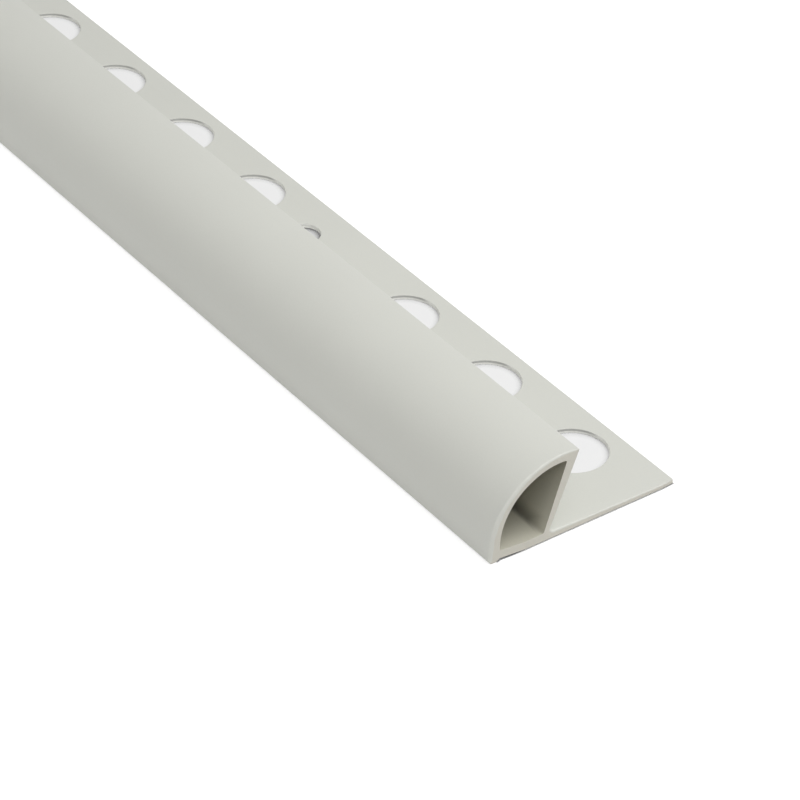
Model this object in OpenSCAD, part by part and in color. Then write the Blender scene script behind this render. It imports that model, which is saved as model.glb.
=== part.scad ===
// Quarter-round edge trim for wall tiles: one hollow plastic extrusion with a round front,
// a leaning web that closes it behind, and a thin leg punched with holes that key into the adhesive.
// X runs along the stock, the round front looks to -Y, the leg reaches to +Y,
// and the underside lies on Z = 0. The section is drawn from its toe, as [Y, Z] points.

/* [Stock] */
// Length of the piece
stock_l = 1000; // [200:10:2500]

/* [Round front] */
// Height of the tip of the round, level with the face of a 10 mm tile in its adhesive
tip_h = 10.15; // [8:0.05:12.8]
// Height of the upright toe below the round
toe_h = 1; // [0.8:0.1:1.6]
// Angle that the round runs on behind its crown, down to the tip
crown_past = 12.5; // [6:0.5:18]
// Radius of the tip
tip_r = 0.1; // [0.05:0.05:0.4]
// Radius under the toe
toe_r = 0.4; // [0.2:0.05:0.5]

/* [Walls of the hollow] */
// Wall at the crown
crown_wall = 0.9; // [0.7:0.05:1.3]
// Wall at the toe
toe_wall = 1.25; // [1:0.05:1.6]
// Floor under the hollow
floor_t = 1; // [0.8:0.05:1.3]
// Distance from the toe to the line where the back of the web meets the underside
web_back = 7.4; // [6.8:0.1:8.5]
// Thickness of the leaning web at the underside
web_foot_wall = 0.65; // [0.5:0.05:1]
// Thickness of the leaning web at the tip
web_tip_wall = 1.15; // [0.8:0.05:1.4]
// Radius in the two corners of the hollow's floor
hollow_floor_r = 0.4; // [0.2:0.05:0.5]
// Radius in the top corner of the hollow
hollow_top_r = 0.3; // [0.15:0.05:0.5]
// Straight front wall of the hollow, between the radius on its floor and its round
hollow_rise = 0.1; // [0.05:0.05:0.5]

/* [Relief under the toe] */
// Width of the lip that the toe stands on
lip_w = 0.9; // [0.7:0.05:1.2]
// Slope on the back of the lip, measured along the width
lip_slope = 0.45; // [0.3:0.05:0.6]
// Depth of the relief behind the lip
relief_depth = 0.3; // [0.1:0.05:0.4]
// Distance from the toe to where the relief runs out
relief_run = 4.7; // [3.5:0.1:5.5]

/* [Leg] */
// Width of the leg, from the foot of the web to its back edge
leg_w = 17; // [14:0.1:30]
// Thickness of the leg at the foot of the web
leg_root_t = 0.85; // [0.75:0.05:1.1]
// Thickness of the leg where the bed for the tile starts
leg_bed_t = 0.67; // [0.62:0.01:0.75]
// Thickness of the leg at its back edge
leg_edge_t = 0.5; // [0.4:0.01:0.6]
// Radius on the two corners of the leg's back edge
leg_edge_r = 0.12; // [0.05:0.01:0.18]
// Distance behind the tip at which the bed for the tile starts
bed_clear = 1.2; // [0.5:0.1:2]
// Radius in the corner between the web and the leg
leg_root_r = 0.5; // [0.2:0.05:0.8]

/* [Perforations] */
// Diameter of the keying holes
key_hole_d = 8; // [5:0.1:8.5]
// Diameter of the nail holes
nail_hole_d = 4.2; // [3:0.1:6]
// Distance from one place on the row of holes to the next
hole_pitch = 15.7; // [13:0.1:25]
// Distance from an end of the stock to the first place on the row
hole_first = 10.3; // [7:0.1:20]
// Distance from the back edge of the leg to the row of holes
hole_back = 5.8; // [5:0.1:6.8]
// Number of places from one nail hole to the next
nail_every = 8; // [7:1:20]
// Number of keying holes before the first nail hole
nail_after = 3; // [0:1:6]
// Distance that a nail hole stands past its place on the row
nail_shift = 4.8; // [0:0.1:5.5]

/* [Hidden] */
$fn = 96;
pvc_grey = [0.80, 0.80, 0.76];

// Largest gap between an arc of the section and the flats that draw it
arc_flat = 0.003;
// Overrun of a hole past the faces that it goes through
hole_over = 1;

// The round front and the back face of the web, which end in the tip
round_r = (tip_h - toe_h) / cos(crown_past);
round_c = [round_r, toe_h];
web_foot = [web_back, 0];
web_tip = round_c + round_r * [sin(crown_past), cos(crown_past)];
web_up = unit(web_tip - web_foot);
web_out = right_of(web_up);
tip_c = nose_centre(round_c, round_r, web_foot, web_up, tip_r);

// The hollow, whose round is set off from the front's, so that the wall is thickest at the toe
hollow_spring = floor_t + relief_depth + hollow_floor_r + hollow_rise;
hollow_r = round_c.y + round_r - crown_wall - hollow_spring;
hollow_c = [toe_wall + hollow_r, hollow_spring];
hollow_foot = web_foot - web_foot_wall * web_out;
hollow_up = unit(web_tip - web_tip_wall * web_out - hollow_foot);
hollow_tip_c = nose_centre(hollow_c, hollow_r, hollow_foot, hollow_up, hollow_top_r);

// The leg and its row of holes
stock_w = web_back + leg_w;
hole_y = stock_w - hole_back;
last_place = floor((stock_l - 2 * hole_first) / hole_pitch);

function unit(v) = v / norm(v);
function right_of(v) = [v.y, -v.x];
function direction(v) = atan2(v.y, v.x);

// The same turn the short way round
function short_way(angle) = angle > 180 ? angle - 360 : angle < -180 ? angle + 360 : angle;

// Point at height h on the line through p along u
function at_height(p, u, h) = p + u * (h - p.y) / u.y;

// Centre of the small circle of radius r in the corner between the inside of a circle (c, big_r)
// and the line through foot along up
function nose_centre(c, big_r, foot, up, r) =
    let (
        start = foot - r * right_of(up) - c,
        along = up * start,
        short = start * start - pow(big_r - r, 2)
    )
    c + start + up * (sqrt(along * along - short) - along);

// Half the angle of the corner p between its neighbours a and b
function half_angle(a, p, b) = acos(unit(a - p) * unit(b - p)) / 2;

// Point where the rounding of corner p touches the side towards a
function touch(a, p, b, r) = p + unit(a - p) * r / tan(half_angle(a, p, b));

// Centre of the rounding of corner p
function turn_centre(a, p, b, r) =
    p + unit(unit(a - p) + unit(b - p)) * r / sin(half_angle(a, p, b));

// Points of an arc about c, its middle among them, in flats that stay within arc_flat of the true arc
function arc(c, r, from, to) =
    let (n = 2 * ceil(abs(to - from) / (4 * acos(1 - arc_flat / r))))
    [for (i = [0 : n]) let (a = from + (to - from) * i / n) c + r * [cos(a), sin(a)]];

// Points of the corner p of an outline, rounded by r
function turn(a, p, b, r) =
    let (
        c = turn_centre(a, p, b, r),
        from = direction(touch(a, p, b, r) - c),
        to = direction(touch(b, p, a, r) - c)
    )
    arc(c, r, from, from + short_way(to - from));

// Points of a run of [point, radius] corners, where a radius of 0 leaves a corner sharp, as the ends are
function run(corners) =
    [for (i = [0 : len(corners) - 1])
        let (p = corners[i][0], r = corners[i][1])
        each r == 0 ? [p] : turn(corners[i - 1][0], p, corners[i + 1][0], r)];

// Points of a round, from its springing at the toe over the crown and round its nose to the web
function round_over(c, r, nose_c, nose_r, up) =
    let (nose_from = direction(nose_c - c))
    concat(arc(c, r, 180, nose_from), arc(nose_c, nose_r, nose_from, direction(right_of(up))));

module outer_section() {
    polygon(concat(
        round_over(round_c, round_r, tip_c, tip_r, web_up),
        run([
            [tip_c + tip_r * web_out, 0],
            [at_height(web_foot, web_up, leg_root_t), leg_root_r],
            [[web_tip.x + bed_clear, leg_bed_t], 0],
            [[stock_w, leg_edge_t], leg_edge_r],
            [[stock_w, 0], leg_edge_r],
            [[relief_run, 0], 0],
            [[lip_w + lip_slope, relief_depth], 0],
            [[lip_w, 0], 0],
            [[0, 0], toe_r],
            [[0, toe_h], 0],
        ])
    ));
}

module hollow_section() {
    polygon(concat(
        round_over(hollow_c, hollow_r, hollow_tip_c, hollow_top_r, hollow_up),
        run([
            [hollow_tip_c + hollow_top_r * right_of(hollow_up), 0],
            [at_height(hollow_foot, hollow_up, floor_t), hollow_floor_r],
            [[relief_run, floor_t], 0],
            [[toe_wall, floor_t + relief_depth], hollow_floor_r],
            [[toe_wall, hollow_spring], 0],
        ])
    ));
}

// One hole through the leg, at distance x from the +X end of the stock
module leg_hole(x, d) {
    translate([stock_l / 2 - x, hole_y, -hole_over])
    cylinder(d = d, h = leg_root_t + 2 * hole_over);
}

// Keying holes all along the leg, with a nail hole instead at every nail_every-th place
module perforations() {
    for (place = [0 : last_place]) {
        x = hole_first + place * hole_pitch;
        if (place % nail_every == nail_after) leg_hole(x + nail_shift, nail_hole_d);
        else leg_hole(x, key_hole_d);
    }
}

module tile_trim() {
    color(pvc_grey)
    translate([0, -stock_w / 2, 0])
    difference() {
        rotate([90, 0, 90])
        linear_extrude(stock_l, center = true)
        difference() {
            outer_section();
            hollow_section();
        }
        perforations();
    }
}

tile_trim();
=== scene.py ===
"""Looks of a hollow quarter-round tile edge trim, laid out as a Blender add-on and run as a script.

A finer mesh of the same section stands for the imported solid: the round front over its hollow, the leaning
web, the relieved toe, the punched leg with softened hole rims, and the sawn ends with their dulled edges.
X runs along the stock, the round front looks to -Y, the leg reaches to +Y and Z is up, all in metres.
The section is drawn from its toe, so Y is measured from there until the mesh is set in its place.
"""

import math

import bmesh
import bpy
from bpy.props import FloatProperty, FloatVectorProperty, IntProperty, PointerProperty
from mathutils import Matrix, Vector, noise


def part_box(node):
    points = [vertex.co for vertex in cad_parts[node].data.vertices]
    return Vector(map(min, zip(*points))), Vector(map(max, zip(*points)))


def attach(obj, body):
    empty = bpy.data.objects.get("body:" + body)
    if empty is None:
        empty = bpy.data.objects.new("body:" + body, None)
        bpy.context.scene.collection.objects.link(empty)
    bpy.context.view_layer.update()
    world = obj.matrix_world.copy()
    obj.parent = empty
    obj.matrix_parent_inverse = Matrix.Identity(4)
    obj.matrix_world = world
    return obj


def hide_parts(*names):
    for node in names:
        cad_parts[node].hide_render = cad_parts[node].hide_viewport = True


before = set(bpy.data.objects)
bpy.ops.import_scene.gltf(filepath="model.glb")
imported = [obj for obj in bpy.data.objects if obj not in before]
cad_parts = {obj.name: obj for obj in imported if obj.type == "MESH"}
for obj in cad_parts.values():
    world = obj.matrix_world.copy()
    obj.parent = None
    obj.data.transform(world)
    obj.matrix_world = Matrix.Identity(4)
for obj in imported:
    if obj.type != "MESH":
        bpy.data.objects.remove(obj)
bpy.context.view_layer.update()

bl_info = {
    "name": "Tile edge trim",
    "version": (1, 0, 0),
    "blender": (4, 5, 0),
    "location": "View3D > Sidebar > Tile trim",
    "description": "Builds a hollow quarter-round tile edge trim and the plain stage it is shown on",
    "category": "Add Mesh",
}

NODE = "tile_trim"
BODY = "root"
STOCK_LOW, STOCK_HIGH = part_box(NODE)

MM = 0.001
X_AXIS = Vector((1.0, 0.0, 0.0))
BLACK = (0.0, 0.0, 0.0, 1.0)
WHITE = (1.0, 1.0, 1.0, 1.0)
IMAGE_PIXELS = 800
SENSOR_MM = 36.0
# Distance from the camera at which the view starts, and from the stock to the floor's edges, in metres
VIEW_START = 0.01
FLOOR_REACH = 30.0

# Two verts closer than this are one vert
MERGE = 5e-6
# Flats that draw each arc of the section
CROWN_FLATS = 40
HOLLOW_FLATS = 32
CORNER_FLATS = 6
# Steps round the edges of the leg's cells, along the stock and across it
CELL_ALONG = 12
CELL_ACROSS = 8
# Flats across a softened edge: the upper and the lower rim of a hole, and the edge of a sawn end
RIM_FLATS = 4
BURR_FLATS = 2
END_FLATS = 4
# Edges that turn more than this stay sharp
SHARP_ANGLE = math.radians(38.0)
# A face of a hole whose normal rises less than this belongs to its wall
STEEP = math.sin(math.radians(45.0))
# Shares of a hole's radius, from its axis to its far side, where the painted shade on its wall starts and
# where it is whole
WALL_SHADE_START = 0.1
WALL_SHADE_WHOLE = 0.45
# The range that a noise texture mostly stays in
NOISE_LOW = 0.3
NOISE_HIGH = 0.7
# How often the patterns of the plastic change in a metre, on each axis where the axes differ
CLOUDS = 60.0
GRAINS = 5200.0
DIE_LINES = (9.0, 1400.0, 1400.0)
DIE_WAVES = (14.0, 160.0, 160.0)
SAW_MARKS = (1.0, 250.0, 5200.0)
# Angle by which the saw's marks are turned in the section
SAW_TURN = math.radians(24.0)
# Shares by which the clouds and the specks change the colour of each surface
SKIN_TONE = (0.012, 0.008)
SAWN_TONE = (0.02, 0.02)
INSIDE_TONE = (0.02, 0.01)
PUNCHED_TONE = (0.03, 0.03)
# How far the roughness swings about its middle, where the die and where the saw left its marks
DIE_SWING = 0.05
SAW_SWING = 0.08
# Heights of the patterns on each surface
SKIN_WAVE = 0.03 * MM
SKIN_DIE = 0.005 * MM
SKIN_GRAIN = 0.002 * MM
SAWN_MARK = 0.01 * MM
SAWN_GRAIN = 0.008 * MM
INSIDE_DIE = 0.008 * MM
INSIDE_GRAIN = 0.003 * MM
# Rays that find how close the floor is to the stock
SHADE_RAYS = 2
# How far from a sawn end the painted contact shadow on the floor may show, as a multiple of its reach
CONTACT_REACHES = 2.0
# Places of the piece's materials after its skin, which comes first
CUT = 1
INSIDE = 2
PUNCHED = 3


def length(label, text, millimetres, most=50.0):
    """A length property, given in millimetres and kept in metres."""
    return FloatProperty(
        name=label,
        description=text,
        default=millimetres * MM,
        min=0.0,
        max=most * MM,
        precision=5,
        subtype="DISTANCE",
        unit="LENGTH",
    )


def angle(label, text, degrees):
    """An angle property, given in degrees and kept in radians."""
    return FloatProperty(
        name=label,
        description=text,
        default=math.radians(degrees),
        min=-math.pi,
        max=math.pi,
        subtype="ANGLE",
        unit="ROTATION",
    )


def amount(label, text, value, most=1.0):
    """A plain number property that starts from zero."""
    return FloatProperty(name=label, description=text, default=value, min=0.0, max=most)


def colour(label, text, value):
    """A colour property, in linear red, green and blue."""
    return FloatVectorProperty(
        name=label, description=text, default=value, min=0.0, max=1.0, subtype="COLOR"
    )


class TILETRIM_PG_section(bpy.types.PropertyGroup):
    """Sizes of the section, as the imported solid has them"""

    tip: length("Tip", "Height of the tip of the round", 10.15)
    toe: length("Toe", "Height of the upright toe below the round", 1.0)
    crown_past: angle("Crown past", "Angle that the round runs on behind its crown", 12.5)
    tip_r: length("Tip radius", "Radius of the tip", 0.1)
    toe_r: length("Toe radius", "Radius under the toe", 0.4)
    crown_wall: length("Crown wall", "Wall of the hollow at the crown", 0.9)
    toe_wall: length("Toe wall", "Wall of the hollow at the toe", 1.25)
    floor: length("Floor", "Floor under the hollow", 1.0)
    web_back: length("Web back", "Distance from the toe to the foot of the web's back", 7.4)
    web_foot_wall: length("Web foot wall", "Thickness of the web at the underside", 0.65)
    web_tip_wall: length("Web tip wall", "Thickness of the web at the tip", 1.15)
    hollow_floor_r: length("Hollow floor radius", "Radius in the corners of the hollow's floor", 0.4)
    hollow_top_r: length("Hollow top radius", "Radius in the top corner of the hollow", 0.3)
    hollow_rise: length("Hollow rise", "Straight front wall of the hollow below its round", 0.1)
    lip: length("Lip", "Width of the lip that the toe stands on", 0.9)
    lip_slope: length("Lip slope", "Slope on the back of the lip, along the width", 0.45)
    relief: length("Relief depth", "Depth of the relief behind the lip", 0.3)
    relief_run: length("Relief run", "Distance from the toe to where the relief runs out", 4.7)
    leg_root: length("Leg root", "Thickness of the leg at the foot of the web", 0.85)
    leg_bed: length("Leg bed", "Thickness of the leg where the bed for the tile starts", 0.67)
    leg_edge: length("Leg edge", "Thickness of the leg at its back edge", 0.5)
    leg_edge_r: length("Leg edge radius", "Radius on the corners of the leg's back edge", 0.12)
    bed_clear: length("Bed clearance", "Distance behind the tip at which the bed starts", 1.2)
    leg_root_r: length("Leg root radius", "Radius between the web and the leg", 0.5)


class TILETRIM_PG_row(bpy.types.PropertyGroup):
    """Row of holes punched in the leg"""

    key_d: length("Keying hole", "Diameter of the keying holes", 8.0)
    nail_d: length("Nail hole", "Diameter of the nail holes", 4.2)
    pitch: length("Pitch", "Distance from one place on the row to the next", 15.7)
    first: length("First place", "Distance from an end of the stock to the first place", 10.3)
    back: length("From the back", "Distance from the back edge of the leg to the row", 5.8)
    nail_every: IntProperty(
        name="Nail every", description="Places from one nail hole to the next", default=8, min=1
    )
    nail_after: IntProperty(
        name="Nail after", description="Keying holes before the first nail hole", default=3, min=0
    )
    nail_shift: length("Nail shift", "Distance that a nail hole stands past its place", 4.8)


class TILETRIM_PG_finish(bpy.types.PropertyGroup):
    """Softened edges and colours of the plastic"""

    rim_r: length("Hole rim", "Rounding that the punch left on the upper rims of the holes", 0.1)
    burr_r: length("Lower rim", "Softening of the lower rims of the holes", 0.06)
    end_toe: length("End at the toe", "Dulled edge of a sawn end, at the toe", 0.45)
    end_leg: length("End at the leg", "Dulled edge of a sawn end, from the tip to the leg", 0.14)
    end_fine: length("End at fine edges", "Dulled edge of a sawn end, at thin edges and below", 0.05)
    end_hollow: length("End at the hollow", "Dulled edge of a sawn end, at the hollow's mouth", 0.07)
    end_corner: length("End corner", "Rounding of the leg's back corners, seen from above", 0.4)
    end_uneven: amount("Uneven ends", "Share by which the dulled edges of the ends vary", 0.3)
    skin: colour("Skin", "Light warm grey of the extruded surfaces", (0.635, 0.64, 0.59))
    # Painted shade: the hollow is the skin's plastic, drawn in a dark grey deep and high inside that pales
    # towards its mouths.
    inside: colour("Inside", "Dull grey deep in the hollow", (0.29, 0.275, 0.21))
    mouth: colour("Mouth", "Paler grey of the hollow's floor at its mouths", (0.61, 0.595, 0.50))
    mouth_deep: length("Mouth depth", "Depth in the hollow by which its mouth has darkened", 13.0)
    mouth_high: length("Mouth height", "Height over the underside by which the hollow has darkened", 12.0)
    # Painted shade: these darken the hollow along the corner between its floor and the web.
    seam: amount("Seam", "Share of its colour that the hollow keeps in the corner below the web", 0.45)
    corner_shade_w: length("Seam width", "Width over which that corner darkens", 0.7)
    corner_shade_up: amount("Seam height", "Share of a height that counts in that width", 0.15)
    corner_shade_deep: length("Seam depth", "Depth in the hollow by which that corner has darkened", 5.5)
    sawn: colour("Sawn", "Slightly yellower grey of the sawn faces", (0.62, 0.60, 0.53))
    # Painted light: this pale grey, far paler than the skin, makes the sheared walls look lit.
    punched: colour("Punched", "Pale grey of the walls that the punch sheared", (0.88, 0.88, 0.84))
    # Painted shade: the dark grey high on the walls' far side, from its foot to its full height, weaker in
    # the nail holes.
    painted_wall_shade: colour("Smeared", "Dark grey where the punch smeared those walls", (0.43, 0.43, 0.41))
    wall_shade_low: length("Smear foot", "Height over the underside at which the smear starts", 0.18)
    wall_shade_high: length("Smear height", "Height over the underside at which the smear is whole", 0.34)
    nail_wall_shade: amount("Nail hole smear", "Share of the smear that the walls of the nail holes have", 0.3)
    skin_rough: amount("Skin roughness", "Middle roughness of the satin surfaces", 0.42)
    sawn_rough: amount("Sawn roughness", "Middle roughness of the sawn faces", 0.6)


class TILETRIM_PG_stage(bpy.types.PropertyGroup):
    """Camera, floor and light"""

    azimuth: angle("Azimuth", "Direction that the camera stands in, round the stock", 54.88)
    elevation: angle("Elevation", "Height of the camera over the floor, as an angle", 35.87)
    lens: FloatProperty(
        name="Lens",
        description="Focal length, for a sensor 36 mm wide",
        default=164.9,
        min=1.0,
        unit="CAMERA",
    )
    toe_away: FloatProperty(
        name="Distance",
        description="Distance of the near end's toe from the camera, along the view",
        default=0.3786,
        min=0.01,
        subtype="DISTANCE",
        unit="LENGTH",
    )
    toe_x: FloatProperty(
        name="Toe across", description="Place of that toe across the image", default=489.3, subtype="PIXEL"
    )
    toe_y: FloatProperty(
        name="Toe down", description="Place of that toe down the image", default=565.5, subtype="PIXEL"
    )
    floor: colour("Floor", "Pale floor", (0.80, 0.80, 0.80))
    floor_white: amount("Floor white", "White that the floor shows besides its shading", 0.66)
    floor_shade: amount("Floor shade", "Share of its shading that the floor shows", 0.55)
    # Painted shade: below the stock, in the holes and along the sawn ends the floor is drawn darker than its
    # light leaves it.
    under_white: amount("White in the holes", "White that the floor shows below the stock's holes", 0.555)
    under_shade: amount("Shade in the holes", "Share of its shading that the floor shows there", 0.3)
    contact: length("Contact", "Reach of the dark line where the sawn ends touch the floor", 0.3)
    contact_dark: amount("Contact darkness", "How fast that line darkens towards the ends", 3.0, 10.0)
    hole_shade: length("Hole shade", "Reach of the soft shade on the floor in the holes", 0.8)
    hole_dark: amount("Hole darkness", "How fast that shade darkens towards the walls", 0.4, 10.0)
    nail_kept: amount("Nail hole floor", "Share of its look that the floor keeps in the nail holes", 0.75)
    nail_shade: length("Nail hole shade", "Reach of the dark line on the floor in the nail holes", 0.7)
    nail_dark: amount("Nail hole darkness", "How fast that line darkens towards the walls", 1.7, 10.0)
    sky: amount("Sky", "Strength of the even light from all round", 0.27, 10.0)
    key: amount("Key", "Strength of the wide soft lamp overhead", 1.37, 20.0)
    key_width: angle("Key width", "Angle that the lamp overhead fills, seen from the stock", 60.0)
    key_turn: angle("Key turn", "Direction of the lamp overhead, round the stock", 90.0)
    key_rise: angle("Key rise", "Height of the lamp overhead, as an angle", 60.0)
    fill: amount("Fill", "Strength of the weak lamp before the round front", 0.54, 20.0)
    fill_width: angle("Fill width", "Angle that the weak lamp fills, seen from the stock", 40.0)
    fill_turn: angle("Fill turn", "Direction of the weak lamp, round the stock", 0.0)
    fill_rise: angle("Fill rise", "Height of the weak lamp, as an angle", 10.0)
    glow: amount("Glow", "Power of the small soft lamp behind the near end, in watts", 0.197, 20.0)
    glow_size: length("Glow size", "Width of the lamp behind the near end", 120.0, 1000.0)
    glow_past: length("Glow past the end", "Distance of that lamp past the near end", 20.0, 1000.0)
    glow_back: length("Glow behind", "Distance of that lamp behind the stock", 100.0, 1000.0)
    glow_rise: length("Glow height", "Height of that lamp over the floor", 200.0, 1000.0)


def stand(turn, rise):
    """Direction in which a camera or lamp stands, turned round the stock and raised over the floor."""
    return Vector((math.sin(turn) * math.cos(rise), -math.cos(turn) * math.cos(rise), math.sin(rise)))


def facing(spot, back):
    """Matrix of a lamp at a spot that shines away from the direction back."""
    return Matrix.Translation(spot) @ back.to_track_quat("Z", "Y").to_matrix().to_4x4()


def at(y, z):
    """A point of the section."""
    return Vector((0.0, y, z))


def right_of(way):
    """The direction to the right of a direction in the section."""
    return at(way.z, -way.y)


def direction(way):
    """Angle of a direction in the section, from +Y towards +Z."""
    return math.atan2(way.z, way.y)


def short_way(turn):
    """The same turn the short way round."""
    return (turn + math.pi) % (2.0 * math.pi) - math.pi


def at_height(foot, up, height):
    """Point at a height on the line through foot along up."""
    return foot + up * ((height - foot.z) / up.z)


def nose_centre(centre, big_r, foot, up, small_r):
    """Centre of the small round between the inside of a circle and the line through foot along up."""
    start = foot - right_of(up) * small_r - centre
    along = up.dot(start)
    short = start.dot(start) - (big_r - small_r) ** 2
    return centre + start + up * (math.sqrt(along * along - short) - along)


class Shape:
    """Points of the section that its sizes lead to."""

    def __init__(self, sizes, row):
        past = sizes.crown_past
        self.round_r = (sizes.tip - sizes.toe) / math.cos(past)
        self.round_c = at(self.round_r, sizes.toe)
        self.web_foot = at(sizes.web_back, 0.0)
        self.web_tip = self.round_c + at(math.sin(past), math.cos(past)) * self.round_r
        self.web_up = (self.web_tip - self.web_foot).normalized()
        self.web_out = right_of(self.web_up)
        self.tip_c = nose_centre(self.round_c, self.round_r, self.web_foot, self.web_up, sizes.tip_r)
        self.hollow_spring = sizes.floor + sizes.relief + sizes.hollow_floor_r + sizes.hollow_rise
        self.hollow_r = sizes.toe + self.round_r - sizes.crown_wall - self.hollow_spring
        self.hollow_c = at(sizes.toe_wall + self.hollow_r, self.hollow_spring)
        self.hollow_foot = self.web_foot - self.web_out * sizes.web_foot_wall
        hollow_tip = self.web_tip - self.web_out * sizes.web_tip_wall
        self.hollow_up = (hollow_tip - self.hollow_foot).normalized()
        self.hollow_corner = at_height(self.hollow_foot, self.hollow_up, sizes.floor)
        self.hollow_tip_c = nose_centre(
            self.hollow_c, self.hollow_r, self.hollow_foot, self.hollow_up, sizes.hollow_top_r
        )
        self.width = STOCK_HIGH.y - STOCK_LOW.y
        self.edge_y = self.width - sizes.leg_edge_r
        self.bed_y = self.web_tip.y + sizes.bed_clear
        self.bed_slope = (sizes.leg_edge - sizes.leg_bed) / (self.width - self.bed_y)
        self.edge_z = sizes.leg_edge - self.bed_slope * sizes.leg_edge_r
        self.hole_y = self.width - row.back
        stock = STOCK_HIGH.x - STOCK_LOW.x
        self.places = int((stock - 2.0 * row.first) / row.pitch) + 1
        self.row_start = STOCK_HIGH.x - row.first + row.pitch / 2.0
        self.key_x = STOCK_HIGH.x - row.first
        self.nail_x = self.key_x - row.nail_after * row.pitch - row.nail_shift
        self.nail_step = row.nail_every * row.pitch


def first_vert(mesh, x, point):
    """A new vert that a line of the section starts from, in the plane across the stock at x."""
    return bmesh.ops.create_vert(mesh, co=point + X_AXIS * x)["vert"][0]


def line_to(mesh, start, point):
    """Draws an edge across the stock, from a vert to a point, and returns its far vert."""
    end = bmesh.ops.extrude_vert_indiv(mesh, verts=[start])["verts"][0]
    end.co.yz = point.yz
    return end


def arc_to(mesh, start, centre, turn, flats):
    """Draws an arc from a vert about the line along the stock through centre, and returns its far vert."""
    made = bmesh.ops.spin(mesh, geom=[start], cent=centre, axis=X_AXIS, angle=turn, steps=flats)
    return next(item for item in made["geom_last"] if isinstance(item, bmesh.types.BMVert))


def corner_to(mesh, start, corner, after, radius):
    """Draws the line up to a rounded corner and its rounding, and returns the vert that it ends in."""
    here = at(start.co.y, start.co.z)
    back = (here - corner).normalized()
    on = (after - corner).normalized()
    half = back.angle(on) / 2.0
    centre = corner + (back + on).normalized() * (radius / math.sin(half))
    reach = radius / math.tan(half)
    enter = corner + back * reach
    leave = corner + on * reach
    turn = short_way(direction(leave - centre) - direction(enter - centre))
    return arc_to(mesh, line_to(mesh, start, enter), centre, turn, CORNER_FLATS)


def draw_outside(mesh, x, sizes, shape):
    """Draws the section's outer line, from the front of the tile's bed over the round to the underside."""
    pen = first_vert(mesh, x, at(shape.bed_y, sizes.leg_bed))
    web_top = shape.tip_c + shape.web_out * sizes.tip_r
    leg_root = at_height(shape.web_foot, shape.web_up, sizes.leg_root)
    pen = corner_to(mesh, pen, leg_root, web_top, sizes.leg_root_r)
    pen = line_to(mesh, pen, web_top)
    tip_end = direction(shape.tip_c - shape.round_c)
    pen = arc_to(mesh, pen, shape.tip_c, tip_end - direction(shape.web_out), CORNER_FLATS)
    pen = arc_to(mesh, pen, shape.round_c, math.pi - tip_end, CROWN_FLATS)
    pen = corner_to(mesh, pen, at(0.0, 0.0), at(sizes.lip, 0.0), sizes.toe_r)
    pen = line_to(mesh, pen, at(sizes.lip, 0.0))
    pen = line_to(mesh, pen, at(sizes.lip + sizes.lip_slope, sizes.relief))
    pen = line_to(mesh, pen, at(sizes.relief_run, 0.0))
    line_to(mesh, pen, at(shape.bed_y, 0.0))


def draw_hollow(mesh, x, sizes, shape):
    """Draws the closed line of the hollow, from the foot of its round over the web and the floor."""
    start = at(sizes.toe_wall, shape.hollow_spring)
    floor_toe = at(sizes.toe_wall, sizes.floor + sizes.relief)
    floor_run = at(sizes.relief_run, sizes.floor)
    nose_from = direction(shape.hollow_tip_c - shape.hollow_c)
    nose_to = direction(right_of(shape.hollow_up))
    pen = first_vert(mesh, x, start)
    pen = arc_to(mesh, pen, shape.hollow_c, nose_from - math.pi, HOLLOW_FLATS)
    pen = arc_to(mesh, pen, shape.hollow_tip_c, nose_to - nose_from, CORNER_FLATS)
    pen = corner_to(mesh, pen, shape.hollow_corner, floor_run, sizes.hollow_floor_r)
    pen = line_to(mesh, pen, floor_run)
    pen = corner_to(mesh, pen, floor_toe, start, sizes.hollow_floor_r)
    line_to(mesh, pen, start)


def sweep_section(mesh, sizes, row, shape):
    """Draws the section at the start of the row of holes and sweeps it along the row, a place at a time."""
    draw_outside(mesh, shape.row_start, sizes, shape)
    draw_hollow(mesh, shape.row_start, sizes, shape)
    bmesh.ops.remove_doubles(mesh, verts=mesh.verts[:], dist=MERGE)
    bmesh.ops.spin(
        mesh,
        geom=mesh.verts[:] + mesh.edges[:],
        axis=X_AXIS,
        dvec=X_AXIS * -row.pitch,
        angle=0.0,
        steps=shape.places,
    )
    seams = [
        edge
        for edge in mesh.edges
        if all(abs(vert.co.y - shape.bed_y) < MERGE for vert in edge.verts)
        and abs(edge.verts[0].co.x - edge.verts[1].co.x) > MERGE
    ]
    bmesh.ops.subdivide_edges(mesh, edges=seams, cuts=CELL_ALONG - 1)


def rim_edges(mesh, hole_x, hole_y, hole_r):
    """Edges on the rims of a hole, above and below."""
    axis = Vector((hole_x, hole_y))
    return [
        edge
        for edge in mesh.edges
        if all(abs((vert.co.xy - axis).length - hole_r) < MERGE for vert in edge.verts)
        and (edge.verts[0].co.xy - edge.verts[1].co.xy).length > MERGE
    ]


def round_rim(cell, edges, radius, flats):
    """Rounds one rim of a hole."""
    bmesh.ops.bevel(
        cell,
        geom=edges,
        offset=radius,
        offset_type="OFFSET",
        segments=flats,
        profile=0.5,
        affect="EDGES",
        material=-1,
    )


def carry_on(cell, edges, **way):
    """Spins or slides a chain of edges with a skin behind it, and returns the chain in its last place."""
    ends = list({vert for edge in edges for vert in edge.verts})
    made = bmesh.ops.spin(cell, geom=ends + edges, axis=X_AXIS, **way)
    return [item for item in made["geom_last"] if isinstance(item, bmesh.types.BMEdge)]


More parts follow.
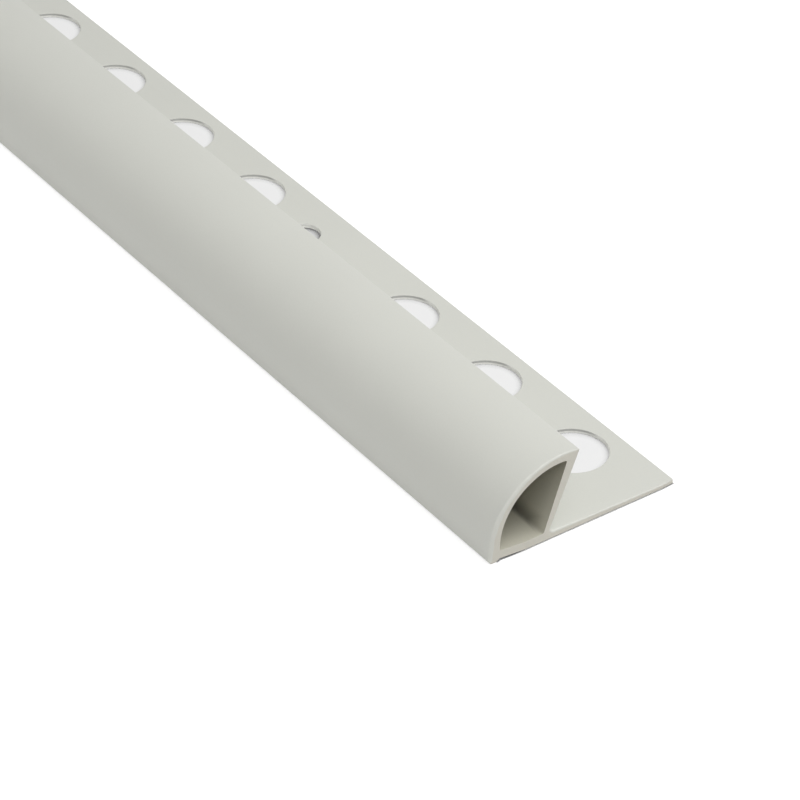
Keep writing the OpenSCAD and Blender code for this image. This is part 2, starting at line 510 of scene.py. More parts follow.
def punched_cell(sizes, row, shape, finish, hole_x, hole_r):
    """One place of the leg, with its hole, as a mesh about x = 0: bed, underside, hole and back edge."""
    cell = bmesh.new()
    across = shape.edge_y - shape.bed_y
    square = (
        Matrix.Translation((0.0, shape.bed_y + across / 2.0, 0.0))
        @ Matrix.Diagonal((row.pitch, across, 1.0, 1.0))
        @ Matrix.Rotation(math.pi / 4.0, 4, "Z")
    )
    bmesh.ops.create_circle(cell, cap_ends=False, segments=4, radius=math.sqrt(0.5), matrix=square)
    along = [e for e in cell.edges if abs(e.verts[0].co.y - e.verts[1].co.y) < MERGE]
    sides = [e for e in cell.edges if abs(e.verts[0].co.x - e.verts[1].co.x) < MERGE]
    bmesh.ops.subdivide_edges(cell, edges=along, cuts=CELL_ALONG - 1)
    bmesh.ops.subdivide_edges(cell, edges=sides, cuts=CELL_ACROSS - 1)
    bmesh.ops.create_circle(
        cell,
        cap_ends=False,
        segments=2 * (CELL_ALONG + CELL_ACROSS),
        radius=hole_r,
        matrix=Matrix.Translation((hole_x, shape.hole_y, 0.0)),
    )
    bmesh.ops.bridge_loops(cell, edges=cell.edges[:])

    bed = cell.verts[:]
    bmesh.ops.duplicate(cell, geom=cell.verts[:] + cell.edges[:] + cell.faces[:])
    fall = Matrix.Identity(4)
    fall[2][1] = shape.bed_slope
    fall[2][3] = sizes.leg_bed - shape.bed_slope * shape.bed_y
    bmesh.ops.transform(cell, matrix=fall, verts=bed)

    bmesh.ops.bridge_loops(cell, edges=rim_edges(cell, hole_x, shape.hole_y, hole_r))
    bmesh.ops.recalc_face_normals(cell, faces=cell.faces[:])
    rims = rim_edges(cell, hole_x, shape.hole_y, hole_r)
    upper = [edge for edge in rims if edge.verts[0].co.z > sizes.leg_edge / 2.0]
    lower = [edge for edge in rims if edge.verts[0].co.z < sizes.leg_edge / 2.0]
    round_rim(cell, upper, finish.rim_r, RIM_FLATS)
    round_rim(cell, lower, finish.burr_r, BURR_FLATS)
    cell.normal_update()
    for face in cell.faces:
        face.material_index = PUNCHED if abs(face.normal.z) < STEEP else 0

    radius = sizes.leg_edge_r
    quarter = -math.pi / 2.0
    back = [
        edge
        for edge in cell.edges
        if all(abs(v.co.y - shape.edge_y) < MERGE and v.co.z > radius for v in edge.verts)
    ]
    upper_c = at(shape.edge_y, shape.edge_z - radius)
    back = carry_on(cell, back, cent=upper_c, angle=quarter, steps=CORNER_FLATS)
    fall_back = at(0.0, 2.0 * radius - shape.edge_z)
    back = carry_on(cell, back, dvec=fall_back, angle=0.0, steps=1)
    carry_on(cell, back, cent=at(shape.edge_y, radius), angle=quarter, steps=CORNER_FLATS)
    made = bpy.data.meshes.new("punched_cell")
    cell.to_mesh(made)
    cell.free()
    return made


def punch_leg(mesh, sizes, row, shape, finish):
    """Adds the leg, place by place, with a nail hole instead of a keying hole at every few places."""
    keying = punched_cell(sizes, row, shape, finish, 0.0, row.key_d / 2.0)
    nailing = punched_cell(sizes, row, shape, finish, -row.nail_shift, row.nail_d / 2.0)
    for place in range(shape.places):
        nailed = place % row.nail_every == row.nail_after
        before = len(mesh.verts)
        mesh.from_mesh(nailing if nailed else keying)
        mesh.verts.ensure_lookup_table()
        middle = shape.row_start - (place + 0.5) * row.pitch
        bmesh.ops.translate(mesh, verts=mesh.verts[before:], vec=X_AXIS * middle)
    bpy.data.meshes.remove(keying)
    bpy.data.meshes.remove(nailing)


def in_hollow(vert, sizes, shape):
    """Whether a vert of the section is on the wall of the hollow."""
    point = at(vert.co.y, vert.co.z)
    under_round = (point - shape.round_c).length < shape.round_r - sizes.crown_wall / 2.0
    before_web = (point - shape.web_foot).dot(shape.web_out) < -sizes.web_foot_wall / 2.0
    over_floor = point.z > (sizes.floor + sizes.relief) / 2.0
    return under_round and before_web and over_floor


def dulled_width(vert, outwards, sizes, shape, finish):
    """Width of the dulled edge of a sawn end at one vert of its section, where the face looks outwards."""
    at_tip = (at(vert.co.y, vert.co.z) - shape.tip_c).length < 2.0 * sizes.tip_r
    if in_hollow(vert, sizes, shape):
        width = finish.end_hollow
    elif at_tip or vert.co.y > shape.edge_y - MERGE:
        width = finish.end_fine
    else:
        near_toe = max(0.0, 1.0 - vert.co.y / shape.web_tip.y)
        width = finish.end_leg + (finish.end_toe - finish.end_leg) * near_toe
        below = max(0.0, -outwards.z)
        width = finish.end_fine + (width - finish.end_fine) * (1.0 - below) ** 2
    return width * (1.0 + finish.end_uneven * noise.noise(vert.co / MM))


def corner_back(y, shape, radius):
    """How far the end stands back at the rounded back corner of the leg."""
    into = max(0.0, y - (shape.width - radius))
    return radius - math.sqrt(max(0.0, radius * radius - into * into))


def extrude_rim(mesh, rim):
    """Extrudes an open rim, and returns the new rim and the old vert that each new one comes from."""
    made = bmesh.ops.extrude_edge_only(mesh, edges=rim)["geom"]
    fresh = {item for item in made if isinstance(item, bmesh.types.BMVert)}
    new_rim = [e for e in made if isinstance(e, bmesh.types.BMEdge) and fresh.issuperset(e.verts)]
    source = {}
    for vert in fresh:
        neighbours = (edge.other_vert(vert) for edge in vert.link_edges)
        source[vert] = next(other for other in neighbours if other not in fresh)
    return new_rim, source


def saw_end(mesh, rim, end_x, sizes, shape, finish):
    """Runs the open section on to an end of the stock, dulls its edges and closes it with the sawn face."""
    side = math.copysign(1.0, end_x)
    mesh.normal_update()
    start = {}
    for vert in {vert for edge in rim for vert in edge.verts}:
        outwards = Vector((0.0, vert.normal.y, vert.normal.z)).normalized()
        width = dulled_width(vert, outwards, sizes, shape, finish)
        reach = end_x - side * corner_back(vert.co.y, shape, finish.end_corner)
        start[vert] = (vert.co.copy(), outwards, width, reach)
    for step in range(END_FLATS + 1):
        turn = math.pi / 2.0 * step / END_FLATS
        rim, source = extrude_rim(mesh, rim)
        for vert, old in source.items():
            start[vert] = start[old]
            point, outwards, width, reach = start[old]
            vert.co = point - outwards * (width * (1.0 - math.cos(turn)))
            vert.co.x = reach - side * width * (1.0 - math.sin(turn))
    made = bmesh.ops.triangle_fill(mesh, use_beauty=True, edges=rim, normal=X_AXIS * side)
    for item in made["geom"]:
        if isinstance(item, bmesh.types.BMFace):
            item.material_index = CUT


def build_mesh(sizes, row, shape, finish):
    """The whole trim as one closed mesh in its place."""
    mesh = bmesh.new()
    sweep_section(mesh, sizes, row, shape)
    for face in mesh.faces:
        if all(in_hollow(vert, sizes, shape) for vert in face.verts):
            face.material_index = INSIDE
    punch_leg(mesh, sizes, row, shape, finish)
    bmesh.ops.remove_doubles(mesh, verts=mesh.verts[:], dist=MERGE)
    bmesh.ops.recalc_face_normals(mesh, faces=mesh.faces[:])
    for end_x in (STOCK_HIGH.x, STOCK_LOW.x):
        rim = [e for e in mesh.edges if e.is_boundary and e.verts[0].co.x * end_x > 0.0]
        saw_end(mesh, rim, end_x, sizes, shape, finish)
    bmesh.ops.recalc_face_normals(mesh, faces=mesh.faces[:])
    loose = sum(1 for edge in mesh.edges if not edge.is_manifold)
    if loose:
        raise RuntimeError(f"the trim's mesh is open or folded at {loose} edges")
    bmesh.ops.translate(mesh, verts=mesh.verts[:], vec=(0.0, STOCK_LOW.y, 0.0))
    for face in mesh.faces:
        face.smooth = True
    made = bpy.data.meshes.new("quadrant_trim")
    mesh.to_mesh(made)
    mesh.free()
    made.set_sharp_from_angle(angle=SHARP_ANGLE)
    return made


def add_node(tree, kind, spot, **settings):
    """A new node of a kind, in its place in the editor, with its settings."""
    node = tree.nodes.new(kind)
    node.location = spot
    for name, value in settings.items():
        setattr(node, name, value)
    return node


def feed(tree, socket, value):
    """Links a socket to another one, or sets it to a plain value."""
    if isinstance(value, bpy.types.NodeSocket):
        tree.links.new(value, socket)
    else:
        socket.default_value = value


def math_node(tree, spot, operation, *values):
    """The result of an operation on sockets and plain numbers."""
    node = add_node(tree, "ShaderNodeMath", spot, operation=operation)
    for socket, value in zip(node.inputs, values):
        feed(tree, socket, value)
    return node.outputs[0]


def vector_node(tree, spot, operation, *values):
    """The results of an operation on sockets and plain vectors."""
    node = add_node(tree, "ShaderNodeVectorMath", spot, operation=operation)
    for socket, value in zip(node.inputs, values):
        feed(tree, socket, value)
    return node.outputs


def range_node(tree, spot, value, start, end, low=0.0, high=1.0, kind="LINEAR"):
    """A value that goes from low to high while another one goes from start to end."""
    node = add_node(tree, "ShaderNodeMapRange", spot, interpolation_type=kind)
    node.inputs["From Min"].default_value = start
    node.inputs["From Max"].default_value = end
    node.inputs["To Min"].default_value = low
    node.inputs["To Max"].default_value = high
    tree.links.new(value, node.inputs["Value"])
    return node.outputs["Result"]


def axes_of(tree, spot, vector):
    """The parts of a vector on its three axes."""
    node = add_node(tree, "ShaderNodeSeparateXYZ", spot)
    tree.links.new(vector, node.inputs[0])
    return node.outputs


def noise_node(tree, spot, vector, scale=1.0, detail=1.0, roughness=0.5):
    """A noise texture on a vector."""
    node = add_node(tree, "ShaderNodeTexNoise", spot)
    node.inputs["Scale"].default_value = scale
    node.inputs["Detail"].default_value = detail
    node.inputs["Roughness"].default_value = roughness
    tree.links.new(vector, node.inputs["Vector"])
    return node.outputs["Fac"]


def spread(tree, spot, value, low, high):
    """Maps the usual range of a noise to the range from low to high."""
    return range_node(tree, spot, value, NOISE_LOW, NOISE_HIGH, low, high)


def stretched(tree, spot, vector, scale, turn=0.0):
    """The coordinates scaled by a different amount on each axis, and turned about the stock."""
    node = add_node(tree, "ShaderNodeMapping", spot)
    node.inputs["Rotation"].default_value = (turn, 0.0, 0.0)
    node.inputs["Scale"].default_value = scale
    tree.links.new(vector, node.inputs["Vector"])
    return node.outputs["Vector"]


def bump_node(tree, spot, pattern, height, under=None):
    """The normals of a pattern that stands up by a height, over other normals if they are given."""
    node = add_node(tree, "ShaderNodeBump", spot)
    node.inputs["Strength"].default_value = 1.0
    node.inputs["Distance"].default_value = height
    tree.links.new(pattern, node.inputs["Height"])
    if under is not None:
        tree.links.new(under, node.inputs["Normal"])
    return node.outputs["Normal"]


def scaled(tree, spot, tint, share):
    """A colour made darker or lighter by a share."""
    node = add_node(tree, "ShaderNodeVectorMath", spot, operation="SCALE")
    tree.links.new(tint, node.inputs["Vector"])
    tree.links.new(share, node.inputs["Scale"])
    return node.outputs["Vector"]


def two_tones(tree, spot, share, first, second):
    """A first colour where a share is nought, going over to a second one where it is one."""
    node = add_node(tree, "ShaderNodeValToRGB", spot)
    node.color_ramp.elements[0].color = (*first, 1.0)
    node.color_ramp.elements[1].color = (*second, 1.0)
    tree.links.new(share, node.inputs["Fac"])
    return node.outputs["Color"]


def bare_tree(owner):
    """The emptied node tree of a new material or world."""
    owner.use_nodes = True
    owner.node_tree.nodes.clear()
    return owner.node_tree


def pvc_tone_group():
    """Node group: the plastic's colour, cloudy in broad patches and faintly speckled, and its fine grain."""
    tree = bpy.data.node_groups.new("pvc_tone", "ShaderNodeTree")
    for name, way, kind in (
        ("Vector", "INPUT", "NodeSocketVector"),
        ("Colour", "INPUT", "NodeSocketColor"),
        ("Cloud", "INPUT", "NodeSocketFloat"),
        ("Speck", "INPUT", "NodeSocketFloat"),
        ("Colour", "OUTPUT", "NodeSocketColor"),
        ("Grain", "OUTPUT", "NodeSocketFloat"),
    ):
        tree.interface.new_socket(name=name, in_out=way, socket_type=kind)
    start = add_node(tree, "NodeGroupInput", (-900, 0))
    end = add_node(tree, "NodeGroupOutput", (500, 0))
    place = start.outputs["Vector"]
    cloud = noise_node(tree, (-650, 200), place, scale=CLOUDS, detail=2.0)
    grain = noise_node(tree, (-650, -100), place, scale=GRAINS, detail=2.0, roughness=0.6)
    cloud = spread(tree, (-450, 200), cloud, -1.0, 1.0)
    speck = spread(tree, (-450, -100), grain, -1.0, 1.0)
    cloud = math_node(tree, (-250, 200), "MULTIPLY", cloud, start.outputs["Cloud"])
    both = math_node(tree, (-50, 100), "MULTIPLY_ADD", speck, start.outputs["Speck"], cloud)
    gain = math_node(tree, (130, 100), "ADD", both, 1.0)
    toned = scaled(tree, (300, 50), start.outputs["Colour"], gain)
    tree.links.new(toned, end.inputs["Colour"])
    tree.links.new(grain, end.inputs["Grain"])
    return tree


def plastic(name, tone, tint, cloud, speck):
    """A new material with the plastic's tone on its shader, and the sockets that its finish builds on."""
    material = bpy.data.materials.new(name)
    tree = bare_tree(material)
    result = add_node(tree, "ShaderNodeOutputMaterial", (900, 0))
    shader = add_node(tree, "ShaderNodeBsdfPrincipled", (600, 0))
    place = add_node(tree, "ShaderNodeTexCoord", (-1300, 0)).outputs["Object"]
    group = add_node(tree, "ShaderNodeGroup", (0, 200), node_tree=tone)
    group.inputs["Colour"].default_value = (*tint, 1.0)
    group.inputs["Cloud"].default_value = cloud
    group.inputs["Speck"].default_value = speck
    tree.links.new(place, group.inputs["Vector"])
    tree.links.new(group.outputs["Colour"], shader.inputs["Base Color"])
    tree.links.new(shader.outputs["BSDF"], result.inputs["Surface"])
    return material, tree, shader, place, group


def die_lines(tree, place):
    """Fine lines that the die left along the stock."""
    return noise_node(tree, (-700, -200), stretched(tree, (-900, -200), place, DIE_LINES), detail=3.0)


def roughen(tree, shader, pattern, middle, swing):
    """Lets a pattern swing a shader's roughness about its middle."""
    rough = spread(tree, (-450, -200), pattern, middle - swing, middle + swing)
    tree.links.new(rough, shader.inputs["Roughness"])


def skin_material(tone, finish):
    """Satin extruded plastic, with fine lines from the die along the stock."""
    material, tree, shader, place, group = plastic("pvc_skin", tone, finish.skin, *SKIN_TONE)
    die = die_lines(tree, place)
    wave = noise_node(tree, (-700, -450), stretched(tree, (-900, -450), place, DIE_WAVES))
    roughen(tree, shader, die, finish.skin_rough, DIE_SWING)
    normal = bump_node(tree, (0, -450), wave, SKIN_WAVE)
    normal = bump_node(tree, (200, -300), die, SKIN_DIE, normal)
    normal = bump_node(tree, (400, -200), group.outputs["Grain"], SKIN_GRAIN, normal)
    tree.links.new(normal, shader.inputs["Normal"])
    return material


def cut_material(tone, finish):
    """Duller faces where the stock was sawn, with fine marks across the section."""
    material, tree, shader, place, group = plastic("pvc_cut", tone, finish.sawn, *SAWN_TONE)
    across = stretched(tree, (-900, -250), place, SAW_MARKS, SAW_TURN)
    marks = noise_node(tree, (-700, -250), across, detail=2.0)
    roughen(tree, shader, marks, finish.sawn_rough, SAW_SWING)
    normal = bump_node(tree, (0, -300), marks, SAWN_MARK)
    normal = bump_node(tree, (200, -200), group.outputs["Grain"], SAWN_GRAIN, normal)
    tree.links.new(normal, shader.inputs["Normal"])
    return material


def near_mouth(tree, spot, axes, depth):
    """One at the mouths of the hollow, falling to nought at a depth in it."""
    along = math_node(tree, spot, "ABSOLUTE", axes["X"])
    inner = STOCK_HIGH.x - depth
    return range_node(tree, (spot[0] + 200, spot[1]), along, inner, STOCK_HIGH.x, kind="SMOOTHSTEP")


def into_hollow(tree, axes, finish):
    """How far the hollow has its mouths' pale colour, from one low at an end to nought deep or high, where
    its painted shade is darkest.
    """
    near = near_mouth(tree, (-900, 500), axes, finish.mouth_deep)
    low = range_node(tree, (-700, 250), axes["Z"], 0.0, finish.mouth_high, 1.0, 0.0)
    return math_node(tree, (-500, 350), "MULTIPLY", near, low)


def shade_along_corner(tree, place, axes, corner, finish):
    """Share of its colour that the hollow keeps under painted shade, less along the corner between its floor
    and the web.
    """
    offset = vector_node(tree, (-1100, 800), "SUBTRACT", place, corner)["Vector"]
    weights = (0.0, 1.0, finish.corner_shade_up)
    across = vector_node(tree, (-900, 800), "MULTIPLY", offset, weights)["Vector"]
    away = vector_node(tree, (-700, 800), "LENGTH", across)["Value"]
    kept = range_node(tree, (-300, 800), away, 0.0, finish.corner_shade_w, finish.seam, 1.0, "SMOOTHSTEP")
    near = near_mouth(tree, (-500, 1050), axes, finish.corner_shade_deep)
    return math_node(tree, (-100, 900), "MAXIMUM", kept, near)


def inside_material(tone, finish, corner):
    """The hollow, which left the die duller than the outside, with painted shade that darkens it from its
    mouths inwards and upwards and along the corner below the web.
    """
    material, tree, shader, place, group = plastic("pvc_inside", tone, finish.inside, *INSIDE_TONE)
    axes = axes_of(tree, (-1100, 400), place)
    # Painted shade in the hollow, darkest deep and high inside.
    pale = two_tones(tree, (-300, 500), into_hollow(tree, axes, finish), finish.inside, finish.mouth)
    kept = shade_along_corner(tree, place, axes, corner, finish)
    tree.links.new(scaled(tree, (50, 500), pale, kept), group.inputs["Colour"])
    die = die_lines(tree, place)
    roughen(tree, shader, die, finish.sawn_rough, DIE_SWING)
    normal = bump_node(tree, (200, -300), die, INSIDE_DIE)
    normal = bump_node(tree, (400, -200), group.outputs["Grain"], INSIDE_GRAIN, normal)
    tree.links.new(normal, shader.inputs["Normal"])
    return material


def within(tree, spot, value, middle, reach):
    """One where a value is nearer than reach to a middle, and nought elsewhere."""
    return math_node(tree, spot, "COMPARE", value, middle, reach)


def by_mask(tree, spot, mask, elsewhere, there):
    """The value for there where a mask is one, and the value for elsewhere where it is nought."""
    return range_node(tree, spot, mask, 0.0, 1.0, elsewhere, there)


def past_hole(tree, spot, axes, first, step):
    """Distance along the stock past the nearest hole's axis, for holes a step apart from a first one."""
    along = math_node(tree, spot, "WRAP", axes["X"], first + step / 2.0, first - step / 2.0)
    return math_node(tree, (spot[0] + 200, spot[1]), "SUBTRACT", along, first)


def far_side(tree, spot, past, hole_d):
    """One on the side of a hole's wall that looks to the near end, and nought on the other side: where the
    wall gets its painted shade.
    """
    start = -WALL_SHADE_START * hole_d / 2.0
    whole = -WALL_SHADE_WHOLE * hole_d / 2.0
    return range_node(tree, spot, past, start, whole, kind="SMOOTHSTEP")


def punched_material(tone, finish, row, shape):
    """The walls of the holes, pale grey as painted light, with painted shade high on their far side."""
    material, tree, shader, place, group = plastic("pvc_punched", tone, finish.punched, *PUNCHED_TONE)
    axes = axes_of(tree, (-1700, 500), place)
    past_key = past_hole(tree, (-1500, 800), axes, shape.key_x, row.pitch)
    past_nail = past_hole(tree, (-1500, 500), axes, shape.nail_x, shape.nail_step)
    keys = far_side(tree, (-1100, 800), past_key, row.key_d)
    nails = far_side(tree, (-1100, 500), past_nail, row.nail_d)
    weak = math_node(tree, (-900, 500), "MULTIPLY", nails, finish.nail_wall_shade)
    change = math_node(tree, (-700, 600), "SUBTRACT", weak, keys)
    nailed = within(tree, (-900, 300), past_nail, 0.0, row.nail_d)
    side = math_node(tree, (-500, 600), "MULTIPLY_ADD", nailed, change, keys)
    high = range_node(
        tree, (-500, 300), axes["Z"], finish.wall_shade_low, finish.wall_shade_high, kind="SMOOTHSTEP"
    )
    # Painted shade, high on the wall's far side.
    wall_shade = math_node(tree, (-300, 600), "MULTIPLY", side, high)
    tones = two_tones(tree, (-300, 400), wall_shade, finish.punched, finish.painted_wall_shade)
    tree.links.new(tones, group.inputs["Colour"])
    shader.inputs["Roughness"].default_value = finish.sawn_rough
    normal = bump_node(tree, (400, -200), group.outputs["Grain"], SAWN_GRAIN)
    tree.links.new(normal, shader.inputs["Normal"])
    return material


def mixed(tree, spot, share, first, second):
    """A first shader where a share is nought, and a second one where it is one."""
    node = add_node(tree, "ShaderNodeMixShader", spot)
    for socket, source in zip(node.inputs, (share, first, second)):
        tree.links.new(source, socket)
    return node.outputs[0]


def matt(tree, spot, tint):
    """A matt shader of a colour."""
    node = add_node(tree, "ShaderNodeBsdfDiffuse", spot)
    feed(tree, node.inputs["Color"], tint)
    return node.outputs[0]


def seen_directly(tree, spot):
    """One for rays from the camera and from mirrors and glass, and nought for the light on the object."""
    x, y = spot
    path = add_node(tree, "ShaderNodeLightPath", spot).outputs
    mirror = math_node(tree, (x + 200, y), "MAXIMUM", path["Is Camera Ray"], path["Is Glossy Ray"])
    return math_node(tree, (x + 400, y), "MAXIMUM", mirror, path["Is Transmission Ray"])


def other_than(tree, spot, mask):
    """One where a mask is nought, and nought where it is one."""
    return math_node(tree, spot, "SUBTRACT", 1.0, mask)


def behind_lip(tree, axes, lip):
    """One on the strip of floor between the toe's lip and the leg's back edge, and nought elsewhere."""
    front = STOCK_LOW.y + lip
    half = (STOCK_HIGH.y - front) / 2.0
    return within(tree, (-600, -500), axes["Y"], front + half, half)


def below_stock(tree, axes, behind):
    """One on that strip below the stock, where it shows through the holes, and nought elsewhere."""
    between_ends = within(tree, (-600, -300), axes["X"], 0.0, STOCK_HIGH.x)
    return math_node(tree, (-400, -300), "MULTIPLY", between_ends, behind)


def open_share(tree, spot, reach, darkness, spared):
    """Share of its look that the floor keeps close to the stock, and all of it where spared is one."""
    x, y = spot
    close = add_node(tree, "ShaderNodeAmbientOcclusion", spot, samples=SHADE_RAYS)
    close.inputs["Distance"].default_value = reach
    clear = math_node(tree, (x + 200, y), "POWER", close.outputs["AO"], darkness)
    return math_node(tree, (x + 400, y), "MAXIMUM", clear, spared)


def close_shade(tree, axes, behind, below, nails, stage):
    """Share of its look that the floor keeps under its painted shade: in the holes, darker in the nail
    holes, and in the thin painted contact shadow along the sawn ends.
    """
    inner = STOCK_HIGH.x - CONTACT_REACHES * stage.contact
    between_ends = within(tree, (-800, 900), axes["X"], 0.0, inner)
    before_lip = other_than(tree, (-800, 700), behind)
    spared = math_node(tree, (-600, 800), "MAXIMUM", between_ends, before_lip)
    ends = open_share(tree, (-400, 800), stage.contact, stage.contact_dark, spared)
    outside = other_than(tree, (-600, 600), below)
    holes = open_share(tree, (-400, 600), stage.hole_shade, stage.hole_dark, outside)
    kept = math_node(tree, (200, 700), "MULTIPLY", ends, holes)
    nailed = math_node(tree, (-600, 400), "MULTIPLY", nails, below)
    clear = other_than(tree, (-400, 400), nailed)
    lines = open_share(tree, (-200, 400), stage.nail_shade, stage.nail_dark, clear)
    dim = by_mask(tree, (-200, 200), nailed, 1.0, stage.nail_kept)
    in_nails = math_node(tree, (400, 400), "MULTIPLY", lines, dim)
    return math_node(tree, (600, 700), "MULTIPLY", kept, in_nails)


def floor_material(stage, sizes, row):
    """A pale matt floor that shows nearly white and keeps the shadow that falls on it, with painted shade in
    the holes and a painted contact shadow along the sawn ends.
    """
    material = bpy.data.materials.new("pale_floor")
    tree = bare_tree(material)
    result = add_node(tree, "ShaderNodeOutputMaterial", (1000, 0))
    place = add_node(tree, "ShaderNodeTexCoord", (-1100, 0)).outputs["Object"]
    axes = axes_of(tree, (-900, 0), place)
    behind = behind_lip(tree, axes, sizes.lip)
    below = below_stock(tree, axes, behind)
    shape = Shape(sizes, row)
    past_nail = past_hole(tree, (-1000, 400), axes, shape.nail_x, shape.nail_step)
    nails = within(tree, (-600, 250), past_nail, 0.0, row.nail_d)
    shade = by_mask(tree, (0, 0), below, stage.floor_shade, stage.under_shade)
    whiteness = by_mask(tree, (0, -300), below, stage.floor_white, stage.under_white)
    white = add_node(tree, "ShaderNodeEmission", (200, -200))
    tree.links.new(whiteness, white.inputs["Strength"])
    shown = add_node(tree, "ShaderNodeAddShader", (400, 0))
    tree.links.new(matt(tree, (200, 0), shade), shown.inputs[0])
    tree.links.new(white.outputs[0], shown.inputs[1])
    dark = matt(tree, (400, -200), BLACK)
    # Painted shade in the holes and a painted contact shadow along the sawn ends.
    kept = close_shade(tree, axes, behind, below, nails, stage)
    touched = mixed(tree, (600, 0), kept, dark, shown.outputs[0])
    lit = matt(tree, (600, 200), (*stage.floor, 1.0))
    seen = mixed(tree, (800, 0), seen_directly(tree, (0, 400)), lit, touched)
    tree.links.new(seen, result.inputs["Surface"])
    return material


def even_light(tree, spot, strength):
    """White light of a strength from all round."""
    node = add_node(tree, "ShaderNodeBackground", spot)
    node.inputs["Color"].default_value = WHITE
    node.inputs["Strength"].default_value = strength
    return node.outputs[0]


def studio_world(stage):
    """Even light from all round, with a white background."""
    world = bpy.data.worlds.new("studio")
    tree = bare_tree(world)
    result = add_node(tree, "ShaderNodeOutputWorld", (600, 0))
    sky = even_light(tree, (200, 100), stage.sky)
    white = even_light(tree, (200, -100), 1.0)
    seen = mixed(tree, (400, 0), seen_directly(tree, (-500, 300)), sky, white)
    tree.links.new(seen, result.inputs["Surface"])
    return world


def show(name, data):
    """A new object in the scene."""
    thing = bpy.data.objects.new(name, data)
    bpy.context.scene.collection.objects.link(thing)
    return thing


class TILETRIM_OT_build_trim(bpy.types.Operator):
    """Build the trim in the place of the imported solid"""

    bl_idname = "tile_trim.build_trim"
    bl_label = "Build the trim"

    def execute(self, context):
        sizes = context.scene.trim_section
        row = context.scene.trim_row
        finish = context.scene.trim_finish
        shape = Shape(sizes, row)
        trim = show("quadrant_trim", build_mesh(sizes, row, shape, finish))
        corner = shape.hollow_corner + at(STOCK_LOW.y, 0.0)
        tone = pvc_tone_group()
        for material in (
            skin_material(tone, finish),
            cut_material(tone, finish),
            inside_material(tone, finish, corner),
            punched_material(tone, finish, row, shape),
        ):
            trim.data.materials.append(material)
        normals = trim.modifiers.new("Even normals", "WEIGHTED_NORMAL")
        normals.keep_sharp = True
        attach(trim, BODY)
        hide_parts(NODE)
        return {"FINISHED"}


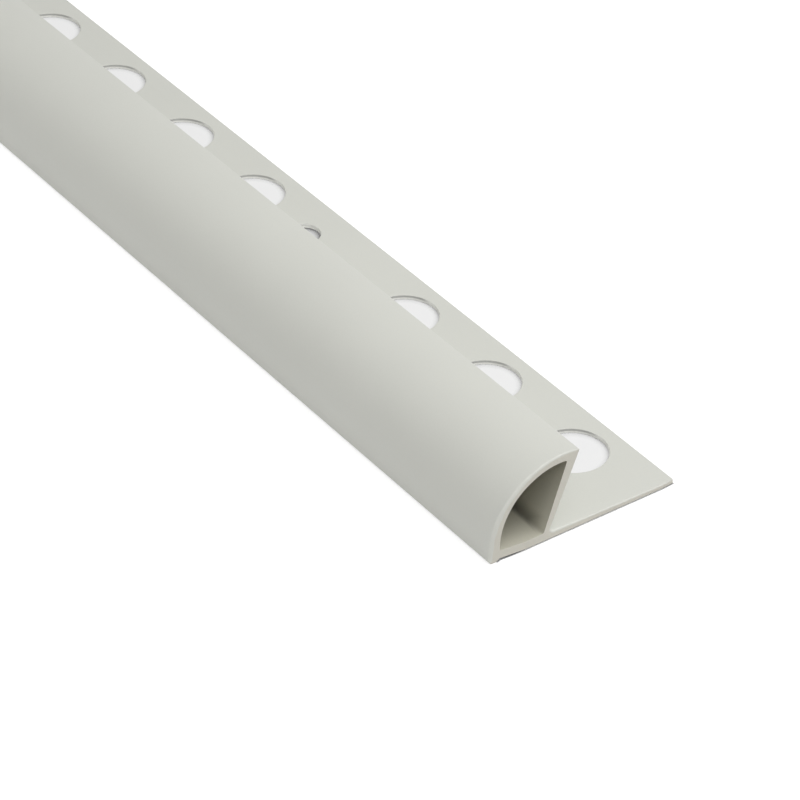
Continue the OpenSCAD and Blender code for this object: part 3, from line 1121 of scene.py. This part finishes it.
class TILETRIM_OT_set_stage(bpy.types.Operator):
    """Set the floor, the light and the camera"""

    bl_idname = "tile_trim.set_stage"
    bl_label = "Set the stage"

    def execute(self, context):
        scene = context.scene
        stage = scene.trim_stage
        self.lay_floor(scene, stage)
        self.light(scene, stage)
        self.aim_camera(scene, stage)
        scene.view_settings.view_transform = "Standard"
        return {"FINISHED"}

    def lay_floor(self, scene, stage):
        """A floor that the stock lies on, wide enough to reach past every view."""
        sheet = bmesh.new()
        bmesh.ops.create_grid(sheet, x_segments=1, y_segments=1, size=FLOOR_REACH)
        bmesh.ops.translate(sheet, verts=sheet.verts[:], vec=(0.0, 0.0, STOCK_LOW.z))
        data = bpy.data.meshes.new("floor")
        sheet.to_mesh(data)
        sheet.free()
        data.materials.append(floor_material(stage, scene.trim_section, scene.trim_row))
        show("floor", data)

    def light(self, scene, stage):
        """Even light all round, soft lamps overhead and in front, and one behind the near end."""
        scene.world = studio_world(stage)
        self.hang_sun("soft_key", stage.key, stage.key_width, stand(stage.key_turn, stage.key_rise))
        self.hang_sun("soft_fill", stage.fill, stage.fill_width, stand(stage.fill_turn, stage.fill_rise))
        data = bpy.data.lights.new("end_glow", "AREA")
        data.shape = "DISK"
        data.size = stage.glow_size
        data.energy = stage.glow
        glow = show("end_glow", data)
        glow.visible_camera = False
        near_end = Vector((STOCK_HIGH.x, 0.0, STOCK_LOW.z))
        away = Vector((stage.glow_past, stage.glow_back, stage.glow_rise))
        glow.matrix_world = facing(near_end + away, away)

    def hang_sun(self, name, strength, width, towards):
        """A far lamp that fills an angle of the sky, towards one direction from the stock."""
        data = bpy.data.lights.new(name, "SUN")
        data.energy = strength
        data.angle = width
        show(name, data).matrix_world = facing(towards, towards)

    def aim_camera(self, scene, stage):
        """The camera, set so that the near end's toe comes to its place in the image."""
        data = bpy.data.cameras.new("camera")
        data.sensor_width = SENSOR_MM
        data.lens = stage.lens
        data.clip_start = VIEW_START
        camera = show("camera", data)
        right = Vector((math.cos(stage.azimuth), math.sin(stage.azimuth), 0.0))
        back = stand(stage.azimuth, stage.elevation)
        up = back.cross(right)
        pixels = stage.lens / SENSOR_MM * IMAGE_PIXELS
        across = (stage.toe_x - IMAGE_PIXELS / 2.0) / pixels
        above = (IMAGE_PIXELS / 2.0 - stage.toe_y) / pixels
        toe = Vector((STOCK_HIGH.x, STOCK_LOW.y, STOCK_LOW.z))
        spot = toe - (right * across + up * above - back) * stage.toe_away
        turned = Matrix((right, up, back)).transposed().to_4x4()
        camera.matrix_world = Matrix.Translation(spot) @ turned
        scene.camera = camera


class TILETRIM_PT_sidebar(bpy.types.Panel):
    """Sizes, finish and stage of the trim"""

    bl_idname = "TILETRIM_PT_sidebar"
    bl_label = "Tile trim"
    bl_space_type = "VIEW_3D"
    bl_region_type = "UI"
    bl_category = "Tile trim"

    def draw(self, context):
        scene = context.scene
        for title, group in (
            ("Section", scene.trim_section),
            ("Row of holes", scene.trim_row),
            ("Finish", scene.trim_finish),
            ("Stage", scene.trim_stage),
        ):
            box = self.layout.box()
            box.label(text=title)
            for name in group.__annotations__:
                box.prop(group, name)
        self.layout.operator(TILETRIM_OT_build_trim.bl_idname)
        self.layout.operator(TILETRIM_OT_set_stage.bl_idname)


CLASSES = (
    TILETRIM_PG_section,
    TILETRIM_PG_row,
    TILETRIM_PG_finish,
    TILETRIM_PG_stage,
    TILETRIM_OT_build_trim,
    TILETRIM_OT_set_stage,
    TILETRIM_PT_sidebar,
)


def register():
    """Registers the classes and puts the properties on the scene."""
    for item in CLASSES:
        bpy.utils.register_class(item)
    bpy.types.Scene.trim_section = PointerProperty(type=TILETRIM_PG_section)
    bpy.types.Scene.trim_row = PointerProperty(type=TILETRIM_PG_row)
    bpy.types.Scene.trim_finish = PointerProperty(type=TILETRIM_PG_finish)
    bpy.types.Scene.trim_stage = PointerProperty(type=TILETRIM_PG_stage)


def unregister():
    """Takes the properties and the classes away again."""
    del bpy.types.Scene.trim_stage
    del bpy.types.Scene.trim_finish
    del bpy.types.Scene.trim_row
    del bpy.types.Scene.trim_section
    for item in reversed(CLASSES):
        bpy.utils.unregister_class(item)


def main():
    """Builds the trim and its stage."""
    register()
    bpy.ops.tile_trim.build_trim()
    bpy.ops.tile_trim.set_stage()


if __name__ == "__main__":
    main()
